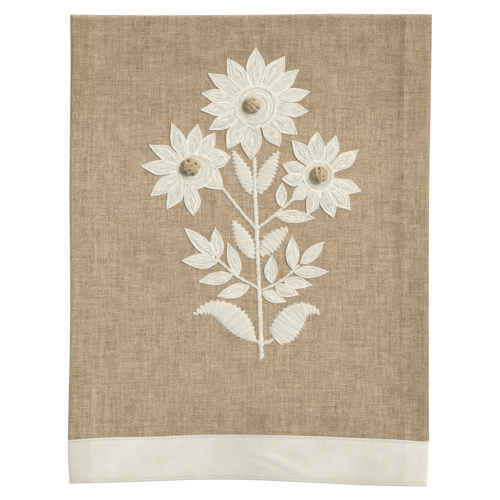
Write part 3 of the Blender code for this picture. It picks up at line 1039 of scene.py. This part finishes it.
def makeFlower(node, name, material):
    flower = flowers[node]
    pile = StrandPile(flower["seed"])
    rng = pile.rng
    centre, eye = flowerCentre(node), flowerCentre(node, "eye")
    low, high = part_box(node)
    knot = unpulled((low.x + high.x) / 2, (low.y + high.y) / 2)
    even = 2 * math.pi / flower["petals"]
    for angle, own in petalTurns(flower):
        angle += rng.normal(0, petalLook["turnSwing"])
        shorter = flower["short"] * max(0.0, math.cos(angle - flower["shortAt"]))
        reach = flower["reach"] * (1 - shorter + rng.normal(0, petalLook["reachSwing"]))
        halfWidth = flower["width"] / 2 * (0.55 + 0.45 * own / even) * (1 - shorter)
        halfWidth = halfWidth * (1 + rng.normal(0, petalLook["widthSwing"]))
        # it starts under the rim of the eye, where its own line from the centre crosses that circle
        heading = unitAt(angle)
        nearest = float(np.dot(eye - centre, heading))
        aside = float(np.dot(eye - centre, eye - centre)) - nearest**2
        start = nearest + math.sqrt((flower["ring"] - petalLook["underRim"]) ** 2 - aside)
        makePetal(pile, centre, start, angle, reach - start, halfWidth, own)
    if flower["calyx"] is not None:
        start = flower["ring"] - petalLook["calyxUnderRim"]
        makePetal(pile, eye, start, flower["calyx"], flower["calyxReach"] - start, flower["calyxHalf"],
                  petalLook["calyxRoom"], calyxForm, petalLook["calyxSkew"])
    # the eye: a rim of rows over the petals' ends, then one slack spiral inwards to the knot
    across = np.sin(np.linspace(-1.5, 1.5, 19)) * (flower["ring"] - 0.0012)
    disc = eye + across[:, None] * np.array([1.0, 0.0])
    half = np.sqrt((flower["ring"] - 0.0011) ** 2 - across**2)
    laidPad(pile, disc, half, half)
    sweep = np.linspace(0, 2 * math.pi * 1.01, 120)
    beside = knot + np.array(eyeLook["shadowOffset"])

    def paintedShadowAt(path):
        # painted shadow of the knot: deepest beside it, on the side away from the light
        away = np.sum((path - beside) ** 2, axis=-1)
        return -eyeLook["shade"] * np.exp(-away / (2 * eyeLook["shadowReach"] ** 2))

    for rim, (raiseBy, rimShading) in enumerate(zip(eyeLook["rimRaise"], eyeLook["rimShading"])):
        radius = flower["ring"] - (rim + 0.5) * crewel["rowPitch"] * 0.96
        wobble = 1 + 0.014 * np.sin(3 * sweep + rim * 2) + 0.010 * np.sin(7 * sweep + rim * 3)
        path = eye + (radius * wobble)[:, None] * unitAt(sweep + rim)
        chainRow(pile, path, raiseBy, rimShading + rng.normal(0, 0.02), paintedShadowAt=paintedShadowAt)
    inner = flower["ring"] - 2.9 * crewel["rowPitch"]
    step = crewel["rowPitch"] * 1.06
    turns = (inner - 0.0030) / step
    sweep = np.linspace(0, 2 * math.pi * turns, int(turns * 60))
    radius = inner - step * sweep / (2 * math.pi)
    slack = radius + eyeLook["slack"] * softNoise(sweep, sweep * 0, 0.8, flower["seed"])
    shift = (knot - eye) * (1 - radius / inner)[:, None] * 0.85
    path = eye + shift + slack[:, None] * unitAt(sweep + 1)
    cuts = np.linspace(0, len(path), int(turns * 2.2) + 2).astype(int)
    for a, b in zip(cuts, cuts[1:]):
        tone = eyeLook["discTone"] + rng.normal(0, eyeLook["discSwing"])
        chainRow(pile, path[max(a - 2, 0):b + 1], rng.normal(0.00010, 0.00022), tone, paintedShadowAt=paintedShadowAt)
    return pile.piece(name, material, "white_cotton")


# stems and leaves

stemLook = {
    "halfWidth": 0.00345,
    "branchHalf": 0.00255,
    "sprigHalf": 0.0023,
    "neckHalf": 0.0024,
    "pitch": 0.00160,
    "lean": 0.80,               # radians that the stitches lean from square
    "uneven": 0.13,
    "arch": 0.00125,
    "branchArch": 0.00115,
    "neckArch": 0.00110,
    "neckLean": 0.3,
    "fork": 0.0240,             # height at which the two branches leave it
}
stemLine = throughPoints(
    [(0.0050, 0.106), (0.0066, 0.060), (0.0088, 0.010), (0.0110, -0.045), (0.0140, -0.1285)])


def stemAt(height):
    return np.array([np.interp(-height, -stemLine[:, 1], stemLine[:, 0]), height])


satin = {                       # satin stitches of the stems, and of the serrated leaves
    "seat": -0.00020,           # a stitch's ends, above the cloth
    "lineTone": 0.92,
    "lineToneSwing": 0.050,
    "lineArchSwing": 0.00012,
    "lineSlip": 0.00022,        # how far a stitch slides along itself
    "lineThick": 0.62,          # half a stitch's width, as a share of the pitch
    "lineFlatness": 0.55,
    "pitch": 0.00130,
    "stitchesPerTooth": 4,
    "gather": 0.40,             # how strongly a tooth's stitches draw together
    "edgeSwing": 0.00030,
    "tone": 0.895,
    "toneSwing": 0.032,
    "arch": 0.00105,
    "archSwing": 0.00012,
    "thick": 0.80,
    "thickSwing": 0.07,
    "flatness": 0.72,
    "padRaise": 0.00025,
    # painted shade: the pad seen between the stitches is darker
    "padShadeTone": 0.93,
}


def satinBar(pile, start, end, halfWidth, arch, tone, steps, flatness):
    # one satin stitch: it comes up at the start, arches over and goes down at the end
    share = np.linspace(0, 1, steps)
    flat = start + (end - start) * share[:, None]
    rise = np.clip(np.sin(math.pi * share), 0, 1) ** 0.35
    ends = np.clip(0.55 + 1.2 * np.minimum(share, 1 - share) * 2, 0, 1)
    path = onCloth(flat, satin["seat"] + arch * rise)
    pile.add(path, halfWidth * ends, halfWidth * flatness * ends, ovalProfile, tone)


def slantedAcross(path, slant):
    # unit vectors to the right of a path, turned on by the slant
    way = unitWays(path)
    turned = np.array([[math.cos(slant), -math.sin(slant)], [math.sin(slant), math.cos(slant)]])
    return np.stack([way[:, 1], -way[:, 0]], axis=-1) @ turned.T


def satinLine(pile, line, halfWidth, pitch, lean, arch):
    # close slanting satin stitches over a narrow line
    path = evenSteps(line, pitch)
    across = slantedAcross(path, lean)
    for middle, way in zip(path, across):
        reach = halfWidth * (1 + pile.rng.normal(0, stemLook["uneven"]))
        slip = pile.rng.normal(0, satin["lineSlip"])
        start, end = middle - way * (reach + slip), middle + way * (reach - slip)
        tone = satin["lineTone"] + pile.rng.normal(0, satin["lineToneSwing"])
        high = arch + pile.rng.normal(0, satin["lineArchSwing"])
        satinBar(pile, start, end, pitch * satin["lineThick"], high, tone, 9, satin["lineFlatness"])


serrated = {                    # side, foot on the stem, distance from it, tip from there, half width, bow
    "side": (-1, 1, -1, 1),
    "foot": (0.0655, 0.0655, -0.0095, -0.0060),
    "off": (0.0062, 0.0060, 0.0072, 0.0042),
    "tipAcross": (0.0195, 0.0200, 0.0215, 0.0305),
    "tipUp": (0.0490, 0.0485, 0.0430, 0.0310),
    "halfWidth": (0.0094, 0.0106, 0.0106, 0.0108),
    "bow": (0.0018, 0.0022, 0.0010, 0.0022),
    "slant": (0.36, 0.30, 0.25, 0.05),
    "toothDepth": (0.0023, 0.0024, 0.0021, 0.0019),
}
toothForm = {
    "along": (0, 0.08, 0.22, 0.45, 0.74, 0.92, 1.0),
    "share": (0.26, 0.54, 0.86, 1.0, 0.72, 0.40, 0.22),
}
basal = {                       # the pair at the foot, left then right: steep at first, then bent outwards
    "side": (-1, 1),
    "foot": (-0.1095, -0.1075),
    "off": (0.0060, 0.0185),
    "across": (0.0545, 0.0310),
    "sweep": (0.0176, 0.0185),
    "up": (0.0400, 0.0365),
    "crest": (0.77, 0.80),      # where along it the spine stands highest
    "halfWidth": (0.0152, 0.0172),
    "slant": (0.10, 0.02),
    "toothDepth": (0.0019, 0.0018),
}
basalForm = {"along": (0, 0.06, 0.14, 0.27, 0.40, 0.53, 0.65, 0.77, 0.88, 1.0),
             "share": (0.14, 0.34, 0.60, 0.90, 1.0, 0.94, 0.77, 0.56, 0.36, 0.13)}
bluntForm = {"along": (0, 0.06, 0.14, 0.27, 0.40, 0.53, 0.65, 0.77, 0.88, 1.0),
             "share": (0.46, 0.78, 0.94, 1.0, 1.0, 0.90, 0.71, 0.50, 0.32, 0.13)}


def serratedLeaf(pile, spine, form, halfWidth, slant, toothDepth):
    # satin stitches laid across a spine; a few together draw into each tooth of the edge
    pitch, tooth = satin["pitch"], satin["stitchesPerTooth"]
    path = evenSteps(spine, pitch)
    way = unitWays(path)
    across = slantedAcross(path, slant)
    number = np.arange(len(path))
    share = number / (len(path) - 1)
    wide = halfWidth * curve(form, "along", "share", share)
    padded = slice(1, len(path) - 2)
    half = wide[padded] - toothDepth * 0.7
    laidPad(pile, path[padded], half, half, satin["padRaise"], satin["padShadeTone"])
    ends = []
    for side, offset in ((-1, 0), (1, tooth // 2)):
        into = (number + offset) % tooth
        wave = 1 - abs(2 * into / tooth - 1)
        extent = wide + toothDepth * (wave - 0.5) + pile.rng.normal(0, satin["edgeSwing"], len(path))
        gather = (tooth / 2 - into) * pitch * satin["gather"] * (into > 0)
        ends.append(path + across * (side * np.maximum(extent, 0.0005))[:, None] + way * gather[:, None])
    for start, end in zip(*ends):
        tone = satin["tone"] + pile.rng.normal(0, satin["toneSwing"])
        arch = satin["arch"] + pile.rng.normal(0, satin["archSwing"])
        thick = pitch * (satin["thick"] + pile.rng.normal(0, satin["thickSwing"]))
        satinBar(pile, start, end, thick, arch, tone, 10, satin["flatness"])


def branchEnds():
    # where the two branches meet their flowers: at the calyx's tip, and under the right flower's petals
    left = flowers["flower_knot_left"]
    leftEnd = flowerCentre("flower_knot_left", "eye")
    leftEnd = leftEnd + unitAt(left["calyx"]) * (left["calyxReach"] - 0.0015)
    return leftEnd, flowerCentre("flower_knot_right", "eye") + np.array([-0.0190, -0.0175])


def makeStems(material):
    pile = StrandPile(51)
    satinLine(pile, stemLine, stemLook["halfWidth"], stemLook["pitch"], stemLook["lean"], stemLook["arch"])
    fork = stemAt(stemLook["fork"])
    for end in branchEnds():
        middle = (fork + end) / 2 + np.array([0, -0.0010])
        satinLine(pile, throughPoints([end, middle, fork], 40), stemLook["branchHalf"], stemLook["pitch"],
                  stemLook["lean"], stemLook["branchArch"])
    return pile.piece("stem_stitching", material, "white_cotton")


def makeSerrated(material):
    pile = StrandPile(52)
    for side, foot, off, tipAcross, tipUp, halfWidth, bow, slant, toothDepth in zip(*serrated.values()):
        base = stemAt(foot) + np.array([side * off, 0.0])
        line = np.array([side * tipAcross, tipUp])
        aside = np.array([-line[1], line[0]]) / np.linalg.norm(line)
        share = np.linspace(0, 1, 60)
        spine = base + share[:, None] * line + (side * bow * np.sin(math.pi * share))[:, None] * aside
        serratedLeaf(pile, spine, toothForm, halfWidth, side * slant, toothDepth)
    forms = (basalForm, bluntForm)
    for form, side, foot, off, across, sweep, up, crest, halfWidth, slant, toothDepth in zip(
            forms, *basal.values()):
        # a spine whose height rises to the crest by a quarter of a sine and sinks a little past it
        share = np.linspace(0, 1, 80)
        reach = off + across * share + sweep * share**2
        rise = 0.0015 + up * np.sin(math.pi / 2 * (share / crest) ** 1.25)
        spine = stemAt(foot) + np.stack([side * reach, rise], axis=-1)
        serratedLeaf(pile, spine, form, halfWidth, side * slant, toothDepth)
        # a few stitches join its foot to the stem
        neck = np.array([stemAt(foot - 0.0035), spine[2] + np.array([-side * halfWidth * 0.30, -0.0005])])
        satinLine(pile, evenSteps(neck, 0.0010), stemLook["neckHalf"], stemLook["pitch"],
                  stemLook["neckLean"], stemLook["neckArch"])
    return pile.piece("serrated_leaves", material, "white_cotton")


sprigs = {                      # left, then right of the stem
    "side": (-1, 1),
    "foot": (-0.0450, -0.0480),
    "reach": ((0.0490, 0.0345), (0.0465, 0.0300)),
    "sag": (0.0026, 0.0034),
    "leafLength": (0.0390, 0.0360),
    "lengthen": ((0.95, 0.10), (0.80, 0.24)),       # a leaf's length at the foot, and its gain by the tip
    "leafHalf": (0.0080, 0.0074),
    "endLonger": (1.32, 1.16),
    "upper": ((0.45, 0.97), (0.30, 0.84)),          # where the leaves leave it, as shares of its length
    "lower": ((0.16, 0.55, 0.93), (0.03, 0.33, 0.53, 0.82)),
    "upperTurn": ((0.66, 0.70), (1.12, 0.88)),                      # their angle from it
    "lowerTurn": (0.78, 0.82),
    "endTurn": (-0.04, 0.0),
}
branchLeaves = {                # on the right branch: share of the way from the fork, heading, size
    "share": (0.54, 0.38),
    "heading": (1.54, -0.08),
    "length": (0.0290, 0.0460),
    "half": (0.0066, 0.0078),
}


def makeSprigs(material):
    pile = StrandPile(53)
    for (side, low, reach, sag, leafLength, lengthen, leafHalf, endLonger, upper, lower, upperTurn, lowerTurn,
         endTurn) in zip(*sprigs.values()):
        foot = stemAt(low)
        tip = foot + np.array([side * reach[0], reach[1]])
        middle = (foot + tip) / 2 + np.array([side * sag * 0.5, -sag])
        line = throughPoints([foot, middle, tip], 40)
        satinLine(pile, line, stemLook["sprigHalf"], stemLook["pitch"], stemLook["lean"],
                  stemLook["branchArch"])
        way = np.gradient(line, axis=0)
        places = [(share, -side * leave, 1.0) for share, leave in zip(upper, upperTurn)]
        places += [(share, side * lowerTurn, lengthen[0] + lengthen[1] * share) for share in lower]
        places += [(1.0, side * endTurn, endLonger)]
        for share, turn, longer in places:
            at = int(share * (len(line) - 1))
            base = line[at]
            angle = math.atan2(way[at, 1], way[at, 0]) - turn + pile.rng.normal(0, 0.05)
            length = leafLength * longer * (1 + pile.rng.normal(0, 0.05))
            base = base + 0.0030 * unitAt(angle)
            halves = [lanceHalf(leafShape, length, leafHalf * (1 + pile.rng.normal(0, 0.06))) for k in (0, 1)]
            leafForm(pile, base, angle, length, halves[0], halves[1], turn * 0.0020)
    fork = stemAt(stemLook["fork"])
    end = branchEnds()[1]
    for share, heading, length, half in zip(*branchLeaves.values()):
        base = fork + share * (end - fork) + 0.0020 * unitAt(heading)
        lance = lanceHalf(leafShape, length, half)
        leafForm(pile, base, heading, length, lance, lance, 0.0)
    return pile.piece("sprig_leaves", material, "white_cotton")


# the knots

knotLook = {
    "bundle": 0.0020,           # half width of one wrap
    "strand": 0.00098,          # half width of one of its strands
    "strands": 4,
    "twist": 3.4,
    "toneSwing": 0.10,
    # painted shade: the dark core seen between the wraps
    "coreShadeTone": 0.26,
    "nearTone": 1.03,
    "farSide": (-0.80, -0.60),  # the side away from the light, painted darker as painted shade
    "paintedFarShade": 0.26,
    "seat": 0.0006,             # the wraps' lowest height over the solid's foot
    "coreRaise": 0.28,          # the core's middle, as a share of the height
    "coreFlatness": 0.55,
    "headingSwing": 0.12,
    "halfSwing": 0.08,
    "spread": 0.56,             # strands' distance from the middle of their wrap, in half widths of it
    "arch": 0.62,               # below 1 the wraps rise steeply and lie flat on top
}
wraps = {                       # a wrap's heading, its distance aside as a share of the radius, its lift
    "heading": (0.80, 0.90, 0.95, 1.00, 2.55, 2.35, 2.70, 1.75),
    "aside": (0.90, 0.50, 0.05, -0.42, 0.62, 0.16, -0.30, -0.92),
    "lift": (-0.0010, -0.0002, 0.0004, 0.0002, 0.0002, 0.0014, 0.0017, -0.0008),
}


def makeKnot(node, name, material, turn, seed):
    low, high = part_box(node)
    centre = np.array([(low.x + high.x) / 2, (low.y + high.y) / 2])
    radius = ((high.x - low.x) + (high.y - low.y)) / 4
    stretch = np.array([high.x - low.x, high.y - low.y]) / (2 * radius)
    seat = low.z + knotLook["seat"]
    tall = high.z - seat
    pile = StrandPile(seed)
    bundle = knotLook["bundle"]
    # a core under the wraps, so that no light comes through between them; its dark tone is painted shade in
    # the gaps between the wraps
    latitude = np.linspace(0.02, math.pi - 0.02, 14)
    coreLine = centre[1] - (radius - bundle) * np.cos(latitude)
    core = np.stack(np.broadcast_arrays(centre[0], coreLine, seat + knotLook["coreRaise"] * tall), axis=-1)
    coreWide = (radius - bundle * 1.1) * np.sin(latitude)
    pile.add(core, coreWide, coreWide * knotLook["coreFlatness"], roundProfile, knotLook["coreShadeTone"])
    for heading, aside, liftBy in zip(*wraps.values()):
        angle = heading + turn + pile.rng.normal(0, knotLook["headingSwing"])
        ahead = np.array([math.cos(angle), math.sin(angle), 0])
        side = np.array([-ahead[1], ahead[0], 0])
        keep = math.sqrt(max(1 - aside * aside, 0.15))
        share = np.linspace(-0.06, math.pi + 0.06, 30)
        reach = (radius - bundle * 0.9)
        across = aside * reach * (0.80 + 0.20 * np.sin(share))
        line = np.zeros((30, 3))
        line[:, :2] = centre
        line += ahead * (-np.cos(share) * reach * keep)[:, None] + side * across[:, None]
        arch = np.sin(np.clip(share, 0, math.pi))
        height = (tall - bundle) * keep**0.6 * arch ** knotLook["arch"]
        line[:, 2] += seat + knotLook["seat"] + height + liftBy * arch
        line[:, :2] = centre + (line[:, :2] - centre) * stretch
        way = unitWays(line)
        over = np.cross(way, side)
        phase = pile.rng.uniform(0, 2 * math.pi)
        for strand in range(knotLook["strands"]):
            turnBy = phase + strand * 2 * math.pi / knotLook["strands"] + knotLook["twist"] * share / math.pi
            offset = side * np.cos(turnBy)[:, None] + over * np.sin(turnBy)[:, None]
            offset = offset * bundle * knotLook["spread"]
            half = knotLook["strand"] * (1 + pile.rng.normal(0, knotLook["halfSwing"]))
            # painted shade: darker towards the side away from the light
            away = (line[:, :2] - centre) @ np.array(knotLook["farSide"]) / radius
            shade = knotLook["nearTone"] - knotLook["paintedFarShade"] * np.clip(away, 0, 1)
            tone = shade * (1 + pile.rng.normal(0, knotLook["toneSwing"]))
            pile.add(line + offset, half, half, roundProfile, tone)
    piece = pile.piece(name, material, "knot_yarn")
    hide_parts(node)
    return piece


# stitching

topstitch = {"pitch": band["stitchPitch"], "dash": 0.0029, "half": 0.00026, "tone": 1.0, "sink": 0.00025}
hemStitch = {"pitch": 0.0033, "dash": 0.0024, "half": 0.00019, "tone": 0.97, "sink": 0.00022}


def stitchRow(pile, across, up, heightAt, pitch, dash, half, tone, sink):
    # short arched stitches along a row, each diving into the cloth at its ends
    line = np.stack(np.broadcast_arrays(across, up), axis=-1).astype(float)
    walked = lengthAlong(line)
    starts = np.arange(pitch * 0.5, walked[-1] - pitch, pitch)
    share = np.linspace(0, 1, 6)
    for start in starts:
        at = start + pile.rng.normal(0, pitch * 0.02) + dash * share
        flat = np.stack([np.interp(at, walked, line[:, 0]), np.interp(at, walked, line[:, 1])], axis=-1)
        x, y = pulled(flat[:, 0], flat[:, 1])
        z = heightAt(flat[:, 0], flat[:, 1]) - sink + (half + sink) * np.sin(math.pi * share) ** 0.5
        ends = np.array([0.55, 0.9, 1.0, 1.0, 0.9, 0.55])
        pile.add(np.stack([x, y, z], axis=-1), half * ends, half * 0.8 * ends, roundProfile, tone)


def makeStitching(whiteThread, beigeThread):
    pile = StrandPile(61)
    across = np.linspace(-towel["width"] / 2 + 0.002, towel["width"] / 2 - 0.002, 200)
    for up in (bandTop - band["upperStitch"], bottom + band["lowerStitch"]):
        line = np.full_like(across, up)
        stitchRow(pile, across, line, bandTopAt, **topstitch)
    white = pile.piece("band_topstitching", whiteThread, "white_cotton")
    pile = StrandPile(62)
    up = np.linspace(bandTop + 0.004, top - 0.004, 200)
    for side in (-1, 1):
        line = side * (towel["width"] / 2 - lie["stitchLine"])
        stitchRow(pile, np.full_like(up, line), up, clothTop, **hemStitch)
    beige = pile.piece("hem_stitching", beigeThread, "beige_cloth")
    return white, beige


crewelLook = {
    "warmer": (0.815, 0.776, 0.668, 1),
    "cooler": (0.825, 0.812, 0.718, 1),
    "roughness": 0.85,
    "sheen": 0.08,
    "fibresPerMetre": 4200.0,
    "runsPerMetre": 260.0,
    "patchesPerMetre": 140.0,
    "fibreShade": 0.06,
    "patchShade": 0.03,
    "bumpStrength": 0.5,
    "bumpHeight": 0.00012,
}
knotYarnLook = dict(
    crewelLook, warmer=(0.530, 0.408, 0.248, 1), cooler=(0.580, 0.468, 0.302, 1), fibreShade=0.16,
    patchShade=0.10, fibresPerMetre=5200.0, runsPerMetre=420.0)
beigeThreadLook = dict(crewelLook, warmer=(0.47, 0.35, 0.235, 1), cooler=(0.46, 0.365, 0.24, 1))

crewelYarn = yarnMaterial("crewelYarn", crewelLook)
knotYarn = yarnMaterial("knotYarn", knotYarnLook)
beigeThread = yarnMaterial("beigeThread", beigeThreadLook)

cloth = makeCloth()
folded = makeBand()
print("cloth and band made")
whiteStitches, hemStitches = makeStitching(crewelYarn, beigeThread)
makeFlower("flower_knot_top", "top_flower", crewelYarn)
makeFlower("flower_knot_left", "left_flower", crewelYarn)
makeFlower("flower_knot_right", "right_flower", crewelYarn)
makeStems(crewelYarn)
makeSerrated(crewelYarn)
makeSprigs(crewelYarn)
print("embroidery made")
makeKnot("flower_knot_top", "top_knot", knotYarn, 0.0, 71)
makeKnot("flower_knot_left", "left_knot", knotYarn, 1.1, 72)
makeKnot("flower_knot_right", "right_knot", knotYarn, 2.3, 73)
print("knots made")

# floor, light and camera

studio = {
    "floor": (0.20, 0.20, 0.20, 1),
    "floorGlow": 0.88,          # the floor is a lit table, so that shadows on it stay faint
    "floorDrop": 0.0002,        # below the towel
    "sky": 0.50,
    "key": 2.30,
    "keyFrom": (0.62, 0.42, 0.75),      # the key light comes from the upper right
    "keyAngle": 16.0,           # degrees that the key light spans
    "cameraHeight": 2.4,
    "viewWidth": 0.582,         # width of the view on the surface
}

floorMesh = bpy.data.meshes.new("floor")
floorLevel = -studio["floorDrop"]
floorCorners = [(x, y, floorLevel) for x, y in ((-6, -6), (6, -6), (6, 6), (-6, 6))]
floorMesh.from_pydata(floorCorners, [], [(0, 1, 2, 3)])
floor = bpy.data.objects.new("floor", floorMesh)
bpy.context.scene.collection.objects.link(floor)
floorMaterial, floorTree, floorShader = newMaterial("paleFloor", 0.9, 0.0)
floorShader.inputs["Base Color"].default_value = studio["floor"]
floorShader.inputs["Specular IOR Level"].default_value = 0.0
floorShader.inputs["Emission Color"].default_value = (1, 1, 1, 1)
floorShader.inputs["Emission Strength"].default_value = studio["floorGlow"]
floorMesh.materials.append(floorMaterial)

world = bpy.data.worlds.new("studio")
world.use_nodes = True
world.node_tree.nodes["Background"].inputs["Color"].default_value = (1, 1, 1, 1)
world.node_tree.nodes["Background"].inputs["Strength"].default_value = studio["sky"]
bpy.context.scene.world = world

keyLight = bpy.data.lights.new("key", "SUN")
keyLight.energy = studio["key"]
keyLight.angle = math.radians(studio["keyAngle"])
key = bpy.data.objects.new("key", keyLight)
key.rotation_mode = "QUATERNION"
key.rotation_quaternion = Vector(studio["keyFrom"]).to_track_quat("Z", "Y")
bpy.context.scene.collection.objects.link(key)

cameraData = bpy.data.cameras.new("camera")
cameraData.sensor_width = 36.0
cameraData.lens = cameraData.sensor_width * studio["cameraHeight"] / studio["viewWidth"]
camera = bpy.data.objects.new("camera", cameraData)
camera.location = (0, 0, studio["cameraHeight"])
bpy.context.scene.collection.objects.link(camera)
bpy.context.scene.camera = camera
bpy.context.scene.view_settings.view_transform = "Standard"

print("towel finished")
